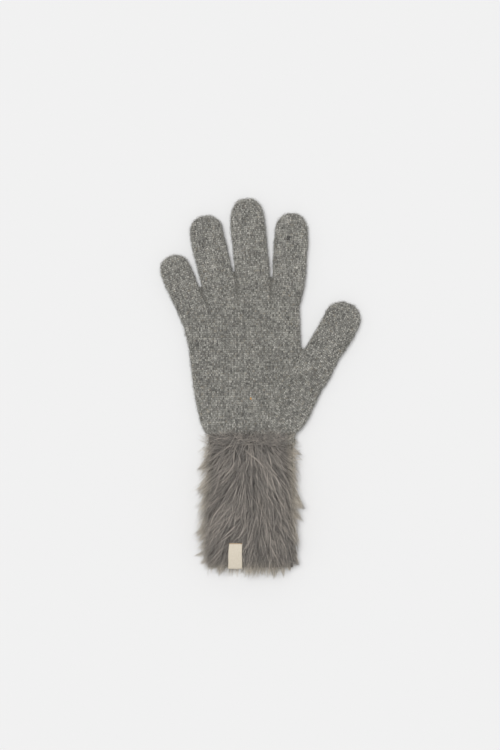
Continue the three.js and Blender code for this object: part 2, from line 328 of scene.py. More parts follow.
# %% [markdown]
# A crease in cloth has soft shoulders, so its depth falls off to both sides as a bell curve. Moving
# the skin's own points keeps it in one piece, which cutting wouldn't. Only the top is pushed up and
# down: the push sets in above the flat underside.

# %% Shape the skin
CREASE_STEPS = 40
TOP_FROM, TOP_OVER = 5 * MM, 4 * MM  # the height where the top's push sets in, and how far to its full
STEADY_WRIST = 12 * MM


def along_line(points, line):
    """How far points lie from a line of places in mm, and how far along it, from 0 to 1."""
    line = np.array(line) * MM
    steps = np.linspace(0, len(line) - 1, CREASE_STEPS)
    spread = np.stack([np.interp(steps, range(len(line)), line[:, k]) for k in (0, 1)], axis=1)
    gap = np.linalg.norm(points[:, None, :] - spread[None], axis=2)
    return gap.min(axis=1), gap.argmin(axis=1) / (len(steps) - 1)


def creasing(points):
    """How deep the creases are at some points, in metres."""
    drop = np.zeros(len(points))
    for crease in CREASES:
        away, along = along_line(points[:, :2], crease["line"])
        fade = np.clip((1 - along) * 2, 0, 1)
        drop += crease["depth"] * MM * fade * np.exp(-0.5 * (away / CREASE_WIDTH) ** 2)
    return drop


def rising(values, start, over):
    """0 up to start, then an even rise to 1 over a distance."""
    return np.clip((values - start) / over, 0, 1)


points = places(hand)
topside = rising(points[:, 2], TOP_FROM, TOP_OVER)
drop = creasing(points)
wave = np.zeros(len(points))
for w in WAVES:
    turn = points[:, 0] * w["across"] + points[:, 1] * w["along"]
    wave += w["height"] * MM * np.sin(2 * math.pi * turn + w["start"])
steady = rising(points[:, 1], WRIST_Y, STEADY_WRIST)
points[:, 2] += topside * (steady * wave - drop)
for nudge in NUDGES:
    gap = np.linalg.norm(points[:, :2] - np.array(nudge["at"]) * MM, axis=1)
    near = np.exp(-0.5 * (gap / (nudge["wide"] * MM)) ** 2)
    points[:, :2] += near[:, None] * np.array(nudge["by"]) * MM
sideways = np.empty(len(points) * 3)
hand.data.vertices.foreach_get("normal", sideways)
points[:, :2] -= SLIMMER * sideways.reshape(-1, 3)[:, :2]
points[:, 2] = np.maximum(points[:, 2], 0)
move_to(hand, points)
print("skin in mm:", np.round(points.min(axis=0) / MM, 1), np.round(points.max(axis=0) / MM, 1))

# %% [markdown]
# The stitches will be laid on this skin, so its points, edges and normals are kept as arrays. The
# fabric itself then loses the closed wrist, sinks a little under the stitches, and gets its wall. It
# needs fewer triangles than the skin, because the stitches hide it.

# %% Keep the skin's shape, then give the fabric its wall
def skin_of(piece):
    """Points, edges, triangles, normals and a search tree of a piece."""
    mesh = piece.data
    mesh.calc_loop_triangles()
    corners = np.empty(len(mesh.loop_triangles) * 3, dtype=np.int64)
    mesh.loop_triangles.foreach_get("vertices", corners)
    edges = np.empty(len(mesh.edges) * 2, dtype=np.int64)
    mesh.edges.foreach_get("vertices", edges)
    normals = np.empty(len(mesh.vertices) * 3)
    mesh.vertices.foreach_get("normal", normals)
    spots, corners = places(piece), corners.reshape(-1, 3)
    tree = BVHTree.FromPolygons(spots.tolist(), corners.tolist())
    return dict(points=spots, edges=edges.reshape(-1, 2), corners=corners,
                normals=normals.reshape(-1, 3), tree=tree)


skin = skin_of(hand)
finish_with(hand, "DECIMATE", ratio=0.17)

YARN_RISE = 0.45 * MM
FABRIC_WALL = 1.05 * MM
FABRIC_LIFT = 0.3 * MM  # the stitches underneath lie between the fabric and the surface
only(hand)
bpy.ops.object.mode_set(mode="EDIT")
bpy.ops.mesh.select_all(action="SELECT")
bpy.ops.mesh.bisect(plane_co=(0, WRIST_Y, 0), plane_no=(0, -1, 0), clear_outer=True)
done()
finish_with(hand, "DISPLACE", strength=-YARN_RISE, mid_level=0)
finish_with(hand, "SOLIDIFY", thickness=FABRIC_WALL, offset=-1, use_rim=True)
points = places(hand)
points[:, 2] = np.maximum(points[:, 2], FABRIC_LIFT)
points[:, 1] = np.maximum(points[:, 1], WRIST_Y)
move_to(hand, points)
hand.data.shade_smooth()
print("fabric:", triangle_count(hand), "triangles")

# %% [markdown]
# Yarn and hair are small shapes repeated thousands of times. Each is modelled once by hand, and its
# points and triangles are then copied as arrays into one joined mesh.

# %% Helpers for many copies
def pattern_of(piece):
    """A small piece's points and triangles, to copy many times. The piece itself goes."""
    spots = places(piece)
    piece.data.calc_loop_triangles()
    corners = np.array([tuple(t.vertices) for t in piece.data.loop_triangles])
    bpy.data.objects.remove(piece)
    return spots, corners


def joined_piece(name, spots, corners, **attributes):
    """One mesh of many copies: spots has a row of points for each copy."""
    copies, count = spots.shape[:2]
    faces = (corners[None] + count * np.arange(copies)[:, None, None]).reshape(-1, 3)
    mesh = bpy.data.meshes.new(name)
    mesh.vertices.add(copies * count)
    mesh.vertices.foreach_set("co", spots.astype(np.float32).ravel())
    mesh.loops.add(faces.size)
    mesh.loops.foreach_set("vertex_index", faces.astype(np.int32).ravel())
    mesh.polygons.add(len(faces))
    mesh.polygons.foreach_set("loop_start", np.arange(0, faces.size, 3, dtype=np.int32))
    mesh.update(calc_edges=True)
    for key, values in attributes.items():
        spread = np.broadcast_to(values, (copies, count)).astype(np.float32)
        mesh.attributes.new(key, "FLOAT", "POINT").data.foreach_set("value", spread.ravel())
    mesh.shade_smooth()
    piece = bpy.data.objects.new(name, mesh)
    bpy.context.scene.collection.objects.link(piece)
    print(f"{name}: {copies} copies, {len(faces)} triangles")
    return piece


def unit(vectors):
    """Vectors with their length made 1."""
    return vectors / np.maximum(np.linalg.norm(vectors, axis=-1, keepdims=True), 1e-12)


# %% [markdown]
# One knitted stitch seen from the front is a V: two slanting legs of yarn. A whole loop of yarn would
# cost many times the triangles, and only its two legs show. A leg is a short four-sided cylinder whose
# ends are drawn out to points. It is 1 long and 1 wide here, and gets its real size when it is laid.

# %% One leg of a stitch
bpy.ops.mesh.primitive_cylinder_add(vertices=4, radius=0.5, depth=0.4, end_fill_type="TRIFAN")
leg = settle(new_piece("stitch_leg"))
for way in (-1, 1):
    choose(leg, lambda v: abs(v.co.x) + abs(v.co.y) < 0.01 and v.co.z * way > 0, "VERT")
    bpy.ops.transform.translate(value=(0, 0, way * 0.3))
    done()
leg_spots, leg_corners = pattern_of(leg)
print("a leg has", len(leg_corners), "triangles")

# %% [markdown]
# The courses of stitches are laid one after the other, from the wrist to each fingertip. A course is
# a slice through the skin, square to the way the knitting runs. Its points are put in order around
# the hand, and stitches are set along it a wale apart, measured from the middle of the top, so that
# they line up in columns. A picture of knitting laid on the skin would stretch at the sides; these
# stitches keep their size everywhere.

# %% Courses and wales
WALE = 2.4 * MM
COURSE = 1.7 * MM
WIDEST_GAP = 2.3 * MM
FEWEST_POINTS = 6  # a slice with fewer only grazes this part of the hand


def running_total(steps):
    """The sum of the steps up to each place, from 0."""
    return np.concatenate([[0], np.cumsum(steps)])


def slice_at(origin, lean):
    """Where an upright plane across a heading cuts the skin: places, and how far to its right."""
    ahead = np.array([math.sin(lean), math.cos(lean)])
    distance = (skin["points"][:, :2] - origin) @ ahead
    a, b = skin["edges"].T
    cut = (distance[a] > 0) != (distance[b] > 0)
    a, b = a[cut], b[cut]
    share = (distance[a] / (distance[a] - distance[b]))[:, None]
    spots = skin["points"][a] + share * (skin["points"][b] - skin["points"][a])
    return spots, (spots[:, :2] - origin) @ np.array([ahead[1], -ahead[0]])


def course_at(part, origin, lean):
    """The stitches' places on one course of one part of the hand."""
    spots, right = slice_at(origin, lean)
    mine = owners(spots) == part
    spots, right = spots[mine], right[mine]
    if len(spots) < FEWEST_POINTS:
        return np.empty((0, 3))
    middle = (right.min() + right.max()) / 2
    high = (spots[:, 2].min() + spots[:, 2].max()) / 2
    flatness = np.ptp(right) / max(np.ptp(spots[:, 2]), MM)
    turn = np.arctan2(right - middle, (spots[:, 2] - high) * flatness)
    order = np.argsort(turn)
    spots, right = spots[order], right[order]
    step = np.linalg.norm(np.diff(spots, axis=0), axis=1)
    walked = running_total(step)
    # The columns are counted from the heading's own line, on top of the hand.
    on_top = np.where(spots[:, 2] > high)[0]
    nearest = on_top[np.argmin(np.abs(right[on_top]))]
    walked += right[nearest] - walked[nearest]
    wales = np.arange(math.ceil(walked[0] / WALE - 0.5), walked[-1] / WALE - 0.5) + 0.5
    before = np.clip(np.searchsorted(walked, wales * WALE) - 1, 0, len(step) - 1)
    wales = wales[step[before] < WIDEST_GAP]
    return np.stack([np.interp(wales * WALE, walked, spots[:, k]) for k in range(3)], axis=1)


# %% [markdown]
# The palm's courses run straight across, and a finger's are square to its bent middle line. They are
# spaced by the distance over the top of the finger and not as seen from above. So they crowd together
# in the view where the tip curves down, as on a real glove.

# %% Lay out the courses
PALM_TOP = 88 * MM
PAST_TIP = 2 * MM
SURVEY_STEP = 0.2 * MM  # how finely the top of a finger is followed
HIGH_ABOVE = 0.1  # the rays that find the top start here


def top_of(spot):
    """The height of the skin's top at a place."""
    found = skin["tree"].ray_cast(Vector((spot[0], spot[1], HIGH_ABOVE)), Vector((0, 0, -1)))[0]
    return found.z if found else 0


def stitches_of(part):
    """Places and headings of all the stitches of one part."""
    rows = []
    if part == "palm":
        for y in np.arange(WRIST_Y + COURSE / 2, PALM_TOP, COURSE):
            spots = course_at(part, np.array([0, y]), 0)
            rows.append((spots, 0))
    else:
        line = lines[part]
        steps = np.arange(line.start, line.length + PAST_TIP, SURVEY_STEP)
        heights = np.array([top_of(line.at(s)) for s in steps])
        climbed = running_total(np.hypot(np.diff(steps), np.diff(heights)))
        for surface in np.arange(COURSE / 2, climbed[-1], COURSE):
            along = np.interp(surface, climbed, steps)
            rows.append((course_at(part, line.at(along), line.lean(along)), line.lean(along)))
    return [(spots, lean) for spots, lean in rows if len(spots)]


# All chance in the lesson comes from this one seeded source, so each run gives the same glove.
rng = np.random.default_rng(11)
courses = {part: stitches_of(part) for part in ["palm", *FINGERS]}
print("stitches:", {part: sum(len(s) for s, _ in rows) for part, rows in courses.items()})

# %% [markdown]
# Now the legs are set. Each stitch stands on the skin's normal, with its point towards the cuff. Yarn
# of mixed wool changes its shade from leg to leg, with a lighter or darker fleck here and there, and
# it lies in shadow in a crease.

# %% Stitches of the palm, the fingers and the thumb
# Two small marks on the real glove: an orange fleck on the palm, a dark loop on the index finger.
MARKS = [
    dict(at=(0.5, -19.2), legs=1, shade=0.8, tint=1),
    dict(at=(30.6, 109.2), legs=4, shade=-0.6, tint=0),
]
LEG_FROM = (0.11, -0.60)  # where a leg starts and ends, as shares of a wale and a course
LEG_TO = (0.35, 0.72)
LEG_STRAY = 0.05  # how far both stray, as a share too
LEG_WIDTH = 1.12 * MM
LEG_THICKNESS = 0.74 * MM
END_DIP = 0.22 * MM
SUNK_BY = 0.07  # the most that a stitch sinks into the fabric, in mm
LEAN_STRAY = 0.05
CREASE_SHADE = 0.24  # how much darker a leg is for each mm of a crease's depth
DARKEST = -0.6
PALER_FINGERS = 0.07
MARK_REACH = 4 * MM


def skin_normals(spots):
    """The skin's normal at the nearest place to each spot."""
    normals = np.empty_like(spots)
    for i, spot in enumerate(spots):
        face = skin["tree"].find_nearest(Vector(spot))[2]
        normals[i] = skin["normals"][skin["corners"][face]].sum(axis=0)
    return unit(normals)


def yarn_shades(count):
    """Shades of some legs: most are near the middle, and here and there one is a fleck."""
    shade = 0.5 + rng.normal(0, 0.24, count)
    fleck = rng.random(count)
    shade[fleck < 0.1] -= 0.4
    shade[fleck > 0.92] += 0.4
    return shade


def knit(name, rows):
    """One piece of the stitches of some courses."""
    spots = np.concatenate([s for s, _ in rows])
    leans = np.concatenate([np.full(len(s), lean) for s, lean in rows])
    normal = skin_normals(spots)
    leans = leans + rng.normal(0, LEAN_STRAY, len(leans))
    ahead = np.stack([np.sin(leans), np.cos(leans), np.zeros(len(leans))], axis=1)
    ahead = unit(ahead - (ahead * normal).sum(axis=1, keepdims=True) * normal)
    right = np.cross(ahead, normal)
    spots = spots - normal * (LEG_THICKNESS / 2 + rng.uniform(0, SUNK_BY, (len(spots), 1)) * MM)
    legs = []
    for side in (-1, 1):
        stray = rng.normal(0, LEG_STRAY, (len(spots), 4))
        start = (right * (side * LEG_FROM[0] + stray[:, :1]) * WALE
                 + ahead * (LEG_FROM[1] + stray[:, 1:2]) * COURSE)
        end = (right * (side * LEG_TO[0] + stray[:, 2:3]) * WALE
               + ahead * (LEG_TO[1] + stray[:, 3:4]) * COURSE)
        across = unit(np.cross(end - start, normal))
        x, y, z = leg_spots.T
        dip = np.where(np.abs(z) > 0.4, -END_DIP, 0)
        legs.append(spots[:, None] + start[:, None] + (z + 0.5)[:, None] * (end - start)[:, None]
                    + (x * LEG_WIDTH)[:, None] * across[:, None]
                    + (y * LEG_THICKNESS + dip)[:, None] * normal[:, None])
    legs = np.concatenate(legs)
    legs[..., 2] = np.maximum(legs[..., 2], TINY)
    middle = legs.mean(axis=1)
    shades = np.clip(yarn_shades(len(legs)), 0, 1) - CREASE_SHADE * creasing(middle) / MM
    # Towards the fingers the legs are a little paler.
    shades += PALER_FINGERS * rising(middle[:, 1], 50 * MM, 40 * MM)
    tints = np.zeros(len(legs))
    for mark in MARKS:
        gap = np.linalg.norm(middle[:, :2] - np.array(mark["at"]) * MM, axis=1)
        for k in np.argsort(np.where(middle[:, 2] > TOP_FROM, gap, 1))[:mark["legs"]]:
            if gap[k] < MARK_REACH:
                shades[k], tints[k] = mark["shade"], mark["tint"]
    return joined_piece(name, legs, leg_corners, shade=np.clip(shades, DARKEST, 1)[:, None],
                        tint=tints[:, None])


knitted = [
    knit("palm_stitches", courses["palm"]),
    knit("thumb_stitches", courses["thumb"]),
    knit("finger_stitches", [row for part in FOUR_FINGERS for row in courses[part]]),
]

# %% [markdown]
# A hair is a long three-sided cone, cut into lengths so that it can bend. Blender has hair curves too,
# but only a mesh is exported. The same hair, thin and short, makes the fuzz of the wool, and thick and
# long the fur.

# %% One hair, and how it is bent
def cut_across(piece, levels):
    """Cut a piece into lengths at some levels along its z."""
    only(piece)
    bpy.ops.object.mode_set(mode="EDIT")
    for level in levels:
        bpy.ops.mesh.select_all(action="SELECT")
        bpy.ops.mesh.bisect(plane_co=(0, 0, level), plane_no=(0, 0, 1))
    done()


def hair_pattern(lengths):
    """A cone from 0 to 1 along z, cut into some lengths."""
    bpy.ops.mesh.primitive_cone_add(vertices=3, radius1=1, radius2=0, depth=1, location=(0, 0, 0.5))
    piece = settle(new_piece("hair"))
    cut_across(piece, [cut / lengths for cut in range(1, lengths)])
    return pattern_of(piece)


def bent_hairs(pattern, lines_of, radii, up):
    """Copies of a hair along lines (copies, steps, 3), with a radius at each step."""
    spots, _ = pattern
    steps = lines_of.shape[1]
    row = np.clip(np.rint(spots[:, 2] * (steps - 1)).astype(int), 0, steps - 1)
    around = np.arctan2(spots[:, 1], spots[:, 0])
    ahead = unit(np.gradient(lines_of, axis=1))
    side = unit(np.cross(ahead, up[:, None]))
    over = np.cross(side, ahead)
    reach = radii[:, row, None]
    return (lines_of[:, row] + reach * (np.cos(around)[:, None] * side[:, row]
                                        + np.sin(around)[:, None] * over[:, row]))


short_hair = hair_pattern(2)
long_hair = hair_pattern(4)
print("triangles of a short and a long hair:", len(short_hair[1]), len(long_hair[1]))

# %% [markdown]
# Brushed wool has loose fibres that stand off it. They lie every way, and show most where the edge of
# the glove is seen against something paler.

# %% Fuzz of the wool
FUZZ_COUNT = 12000
FUZZ_LENGTH = (2.0, 4.4)  # the shortest and the longest fibre, in mm
FUZZ_RADIUS = (0.045, 0.075)
FUZZ_LIFT = (0.12, 0.45)  # how steeply fibres stand off, as a share of their length
AT_SIDES = 3  # on skin that faces sideways, this many fibres are added to each one on top


def fuzz(name, count):
    """Loose fibres that grow from the skin, everywhere but underneath."""
    mesh_points, corners = skin["points"], skin["corners"]
    a, b, c = (mesh_points[corners[:, k]] for k in range(3))
    area = np.linalg.norm(np.cross(b - a, c - a), axis=1)
    middle = (a + b + c) / 3
    area[(middle[:, 1] < WRIST_Y) | (middle[:, 2] < 1.5 * MM)] = 0
    normal = unit(np.cross(b - a, c - a))
    # Fibres at the sides of the fingers and the hand show best, so there are more of them.
    area *= 1 + AT_SIDES * (1 - np.abs(normal[:, 2]))
    face = rng.choice(len(area), count, p=area / area.sum())
    mixed = rng.dirichlet((1, 1, 1), count)
    root = sum(mixed[:, k:k + 1] * mesh_points[corners[face, k]] for k in range(3))
    up = normal[face]
    flat = rng.normal(size=(count, 3))
    flat = unit(flat - (flat * up).sum(axis=1, keepdims=True) * up)
    sweep = unit(np.cross(flat, up)) * rng.normal(0, 0.45, (count, 1))
    length = rng.uniform(*FUZZ_LENGTH, (count, 1)) * MM
    lift = rng.uniform(*FUZZ_LIFT, (count, 1))
    along = np.linspace(0, 1, 3)[None, :, None]
    path = (root[:, None] - up[:, None] * 0.3 * MM
            + (flat * length)[:, None] * along
            + (sweep * length)[:, None] * along**2
            + (up * length * lift)[:, None] * np.sin(along * 2.2))
    path[..., 2] = np.maximum(path[..., 2], 0.15 * MM)
    path[..., 1] = np.maximum(path[..., 1], WRIST_Y - 4 * MM)
    radii = rng.uniform(*FUZZ_RADIUS, (count, 1)) * MM * np.array([[1, 0.8, 0]])
    spots = bent_hairs(short_hair, path, radii, up)
    spots[..., 2] = np.maximum(spots[..., 2], TINY)
    return joined_piece(name, spots, short_hair[1], shade=rng.uniform(0.35, 1, (count, 1)))


wool_fuzz = fuzz("wool_fuzz", FUZZ_COUNT)

# %% [markdown]
# The cuff's backing is a tube of fabric, open at both ends. It starts as a cylinder lying along Y,
# cut into lengths, and its round section is pressed into the flat one of a sleeve that lies empty. One
# function gives its surface, because every hair needs to know where it is too.

# %% Backing of the fur
SEAM_Y = -47.3 * MM
HEM_Y = SEAM_Y - 105.5 * MM
CUFF_X = 0.6 * MM
CUFF_HALF = (33.8 * MM, 35.2 * MM, 34.0 * MM)  # half widths at the seam, before the hem and at it
WIDEST_BEFORE_HEM = 14 * MM
CUFF_LOW = 1 * MM
CUFF_HIGH = 13.5 * MM
SQUARE_OVER, SQUARE_UNDER, PRESSED = 2.6, 3, 1.3
BACKING_WALL = 1.3 * MM
BACKING_INSET = 0.6 * MM
BACKING_LENGTHS = 24


def cuff_surface(turn, y, inset=0):
    """Places on the cuff's backing at angles around it, from +X over the top."""
    half = np.interp(-y, [-SEAM_Y, -HEM_Y - WIDEST_BEFORE_HEM, -HEM_Y], CUFF_HALF) - inset
    c, s = np.cos(turn), np.sin(turn)
    power = 2 / np.where(s > 0, SQUARE_OVER, SQUARE_UNDER)
    high = (CUFF_HIGH - CUFF_LOW) / 2 - inset
    across = CUFF_X + np.sign(c) * np.abs(c) ** power * half
    rise = np.sign(s) * np.abs(s) ** power * high
    rise = np.where(s > 0, rise, np.maximum(-high, rise * PRESSED))
    return np.stack([across, y, (CUFF_HIGH + CUFF_LOW) / 2 + rise], axis=-1)


bpy.ops.mesh.primitive_cylinder_add(vertices=96, radius=1, depth=1, end_fill_type="NOTHING")
backing = settle(new_piece("fur_backing"))
cut_across(backing, [cut / BACKING_LENGTHS - 0.5 for cut in range(1, BACKING_LENGTHS)])
round_points = places(backing)
turns = np.arctan2(round_points[:, 1], round_points[:, 0])
levels = HEM_Y + (round_points[:, 2] + 0.5) * (SEAM_Y - HEM_Y)
move_to(backing, cuff_surface(turns, levels, inset=BACKING_INSET))
choose(backing, lambda f: True)
bpy.ops.mesh.normals_make_consistent(inside=False)
done()
finish_with(backing, "SOLIDIFY", thickness=BACKING_WALL, offset=-1, use_rim=True)
backing.data.shade_smooth()
print("backing:", triangle_count(backing), "triangles")

# %% [markdown]
# Fur grows in clumps, and the clumps follow the way the pile was stroked. From a whorl just below the
# seam a parting wanders down to the hem, and the pile fans out from it to both sides. A
# function of the place gives this angle. Combing by hand would need a window, and couldn't be
# repeated.

# %% The lie of the fur
WHORL = (-0.5 * MM, -59 * MM)
FAN = 46  # how far the pile turns outwards at the sides, in degrees
# The parting: how far below the middle of the palm, and where across, in mm.
PARTING = [(60, -0.5), (76, 4), (100, 11), (152, 8)]
# Slow turns of the pile: degrees, waves per metre across and along, and where each starts.
SWAYS = [(10, 28, 11, 0.3), (9, -19, 24, 1.9), (7, 41, -33, 4.4), (6, 8, 52, 2.7), (5, 77, 40, 0.9),
         (5, -60, 95, 3.6)]


def waves(x, y, *rows):
    """Smooth uneven waves, from rows of (height, waves per metre in x, in y, start)."""
    return sum(h * np.sin(2 * math.pi * (x * a + y * b) + c) for h, a, b, c in rows)


def down_cuff(y, *stops):
    """A value that changes down the cuff, from stops of (mm below the middle of the palm, value)."""
    levels, values = zip(*stops)
    return np.interp(-y, np.array(levels) * MM, values)


def stroke(x, y):
    """The angle of the pile from straight down the cuff, in radians, positive towards +X."""
    side = (x - down_cuff(y, *PARTING) * MM) / CUFF_HALF[0]
    fan = np.radians(FAN) * np.minimum(np.abs(side), 1.15) ** 0.95
    around_whorl = np.abs(np.arctan2(x - WHORL[0], np.maximum(WHORL[1] - y, -11 * MM) + 16 * MM))
    near_whorl = np.clip(1.6 - (WHORL[1] - y) / (20 * MM), 0, 1)
    swept = np.sign(x - WHORL[0]) * np.maximum(fan, around_whorl)
    sway = np.radians(waves(x, y, *SWAYS))
    return swept * near_whorl + np.sign(side) * fan * (1 - near_whorl) + sway


print("stroke at the left, the middle and the right:",
      np.round(np.degrees(stroke(np.array([-0.03, 0, 0.03]), np.full(3, -0.1))), 1))

# %% [markdown]
# Seen against something pale, fur ends in uneven tufts. Its tips may reach only so far: the limits
# below follow the real outline at both sides and at the hem, and each hair is as loose as it likes
# around them.

# %% How far the fur reaches
# Tufts of the sides: mm, waves per metre across and along, and where each starts.
TUFT_WAVES = [(1.7, 30, 88, 0.6), (1.3, 20, 61, 2.2), (1.2, 44, 155, 3.3)]
EVEN_SIDES = [39.4, 40.2, 41.4, 39.2]  # at the seam, below it, where the cuff is widest, at the hem
# How much the right side is drawn in and the left let out: mm below the middle of the palm, and mm.
RIGHT_DRAWN_IN = [(60, 3.0), (80, 1.9), (110, 3.7), (150, 4.3)]
LEFT_LET_OUT = [(60, 1.3), (80, 0), (100, 0.8), (130, 1.8), (150, -1.0)]
HEM_REACH = [(0, -160.2), (22, -159.6), (33, -155.6), (42, -149)]  # mm from the middle, and down to where
HEM_MIDDLE = -2.2 * MM
HEM_LOOSE = 1.2


def reach_limit(side, y, loose):
    """How far out the fur reaches at its left (-1) or right (1) side, in tufts."""
    levels = [-SEAM_Y, -SEAM_Y + 20 * MM, -HEM_Y - WIDEST_BEFORE_HEM, -HEM_Y]
    even = np.interp(-y, levels, EVEN_SIDES)
    uneven = np.where(side > 0, -down_cuff(y, *RIGHT_DRAWN_IN), down_cuff(y, *LEFT_LET_OUT))
    return (even + uneven + waves(side * 0.01, y, *TUFT_WAVES) + loose) * MM


def lowest_reach(x, loose):
    """How far down the tips reach past the hem: less at the cuff's corners."""
    away, lowest = zip(*HEM_REACH)
    even = np.interp(np.abs(x - HEM_MIDDLE), np.array(away) * MM, lowest)
    return (even - HEM_LOOSE * loose) * MM


print("lowest tips at the left, the middle and the right, in mm:",
      np.round(lowest_reach(np.array([-33, 0, 33]) * MM, 0) / MM, 1))

# %% [markdown]
# A hair leaves the backing, rises in an arc and lies down along the pile. The pile is high on top, low
# at the sides and squeezed underneath, and its hair is short and matted beside the seam, where a real
# cuff's is caught in the stitches. All hairs are bent at once, as rows of an array.

# %% The line of a hair
PILE_OVER = 7.8 * MM
PILE_BESIDE = 2.2 * MM
PILE_UNDER = 0.75 * MM
HAIR_LENGTH = 24 * MM
ROOT_INSET = 0.8 * MM
STEPS = np.linspace(0, 1, 5)
# Which way hair leaves the sides, in radians from straight down: mm below the middle, and the angle.
LEAVING_LEFT = [(80, -0.85), (120, -1.12)]
LEAVING_RIGHT = [(110, 0.9), (130, 0.62)]


def facing_out(turn, y):
    """Which way the backing faces at angles around the cuff."""
    ahead = cuff_surface(turn + 0.02, y) - cuff_surface(turn - 0.02, y)
    return unit(np.stack([ahead[:, 2], np.zeros(len(turn)), -ahead[:, 0]], axis=1))


def fur_paths(turn, y, bend, lift, long, loose):
    """The line of each hair, from its root on the backing to its tip."""
    root = cuff_surface(turn, y, inset=ROOT_INSET)
    out = facing_out(turn, y)
    over = np.clip(out[:, 2], 0, 1)
    beside = np.clip(1 - np.abs(out[:, 2]) * 1.6, 0, 1)
    under = np.clip(-out[:, 2], 0, 1)
    leaving = np.where(root[:, 0] < CUFF_X, down_cuff(y, *LEAVING_LEFT), down_cuff(y, *LEAVING_RIGHT))
    angle = stroke(root[:, 0], y) * np.where(out[:, 2] > -0.2, 1, 0.45)
    angle = angle * (1 - beside) + leaving * beside + bend
    way = np.stack([np.sin(angle), -np.cos(angle), np.zeros(len(y))], axis=1)
    hugging = 0.9 * (1 - beside)[:, None]
    way = unit(way - hugging * (way * out).sum(axis=1, keepdims=True) * out)
    pile = PILE_BESIDE + (PILE_OVER - PILE_BESIDE) * over + (PILE_UNDER - PILE_BESIDE) * under
    short = np.interp(-y, [-SEAM_Y, -SEAM_Y + 6 * MM, -SEAM_Y + 18 * MM], [0.36, 0.55, 1])
    pile = pile * lift * short
    length = (HAIR_LENGTH * long * short)[:, None, None]
    t = STEPS[None, :, None]
    rise = np.sin(t * 0.6 * math.pi)
    path = root[:, None] + way[:, None] * length * t**1.1 + out[:, None] * pile[:, None, None] * rise
    # A hair that would stick out too far at the side turns down the cuff, one at the hem is shorter.
    side = np.sign(root[:, 0] - CUFF_X)
    root_by = np.abs(root[:, 0] - CUFF_X)
    out_by = np.maximum(np.abs(path[:, -1, 0] - CUFF_X) - root_by, TINY)
    room = np.clip((reach_limit(side, path[:, -1, 1], loose) - root_by) / out_by, 0.12, 1)
    turned_down = np.stack([np.ones(len(y)), 0.72 + 0.28 * beside, np.full(len(y), 0.6)], axis=1)[:, None]
    path = root[:, None] + (path - root[:, None]) * room[:, None, None] ** turned_down
    low = lowest_reach(path[:, -1, 0] - CUFF_X, loose)
    fits = np.clip((y - low) / np.maximum(y - path[:, -1, 1], TINY), 0.15, 1)
    return root[:, None] + (path - root[:, None]) * fits[:, None, None] ** np.array([1, 1, 0.6])


# %% [markdown]
# The clumps are set out in even rows with some stray, because a grid would show and pure chance would
# leave bald spots. Each one has its own bend, lift and length.

# %% Clumps
CLUMP_PITCH = 1.5 * MM
CLUMP_STRAY = 0.6
CUFF_GIRTH = 163 * MM
MATTED = 16 * MM  # how far below the seam the hair is matted
STRANDS = 0.24  # the share of clumps that lie on top of the others, long and pale


def around_evenly(share):
    """Angles around the cuff at even steps of its outline, from its left side over the top."""
    turn = np.linspace(math.pi, -math.pi, 721)
    outline = cuff_surface(turn, np.full(721, SEAM_Y))
    walked = running_total(np.linalg.norm(np.diff(outline, axis=0), axis=1))
    return np.interp(share, walked / walked[-1], turn)


def near_seam(y):
    """1 at the seam, and less down the cuff, to 0 where the matted hair ends."""
    return np.clip(1 - (SEAM_Y - y) / MATTED, 0, 1)


def set_out_clumps():
    """Each clump's share of the way around the cuff, and its place down the cuff."""
    rows = int(-(HEM_Y - SEAM_Y) / CLUMP_PITCH)
    around = int(CUFF_GIRTH / CLUMP_PITCH)
    row, place = np.meshgrid(np.arange(rows), np.arange(around), indexing="ij")
    stray = rng.uniform(-CLUMP_STRAY, CLUMP_STRAY, (2, rows, around))
    share = ((place + 0.5 * (row % 2) + 0.5 + stray[0]) / around) % 1
    y = SEAM_Y - (row + 0.5 + stray[1]) * CLUMP_PITCH
    return share.ravel(), np.clip(y, HEM_Y + 0.5 * MM, SEAM_Y - 0.3 * MM).ravel()


clump_share, clump_y = set_out_clumps()
clump_turn = around_evenly(clump_share)
clumps = len(clump_y)
strand = rng.random(clumps) < STRANDS
clump = dict(bend=rng.normal(0, 0.21 + 0.45 * near_seam(clump_y)),
             lift=np.where(strand, rng.uniform(0.98, 1.16, clumps), rng.uniform(0.5, 0.88, clumps)),
             long=np.where(strand, rng.uniform(1.05, 1.35, clumps), rng.uniform(0.7, 1.05, clumps)),
             loose=2.6 - rng.gamma(2, 2.1, clumps) + 2.4 * (rng.random(clumps) < 0.1))
# Strands that lie on top are paler: a painted highlight, added to their clump's shade.
clump_shade = np.clip(rng.normal(0.32, 0.19, clumps) + np.where(strand, 0.32, 0), 0, 1)
facing_up = facing_out(clump_turn, clump_y)[:, 2]
print(clumps, "clumps,", int(strand.sum()), "of them strands")

# %% [markdown]
# A hair starts in its own place, and is drawn to its clump's line on the way to the tip. Some stay
# single. Fewer grow at the sides, where the fur is thin and the surface below shows through, and
# fewest underneath, where only the fringe at the hem is seen.

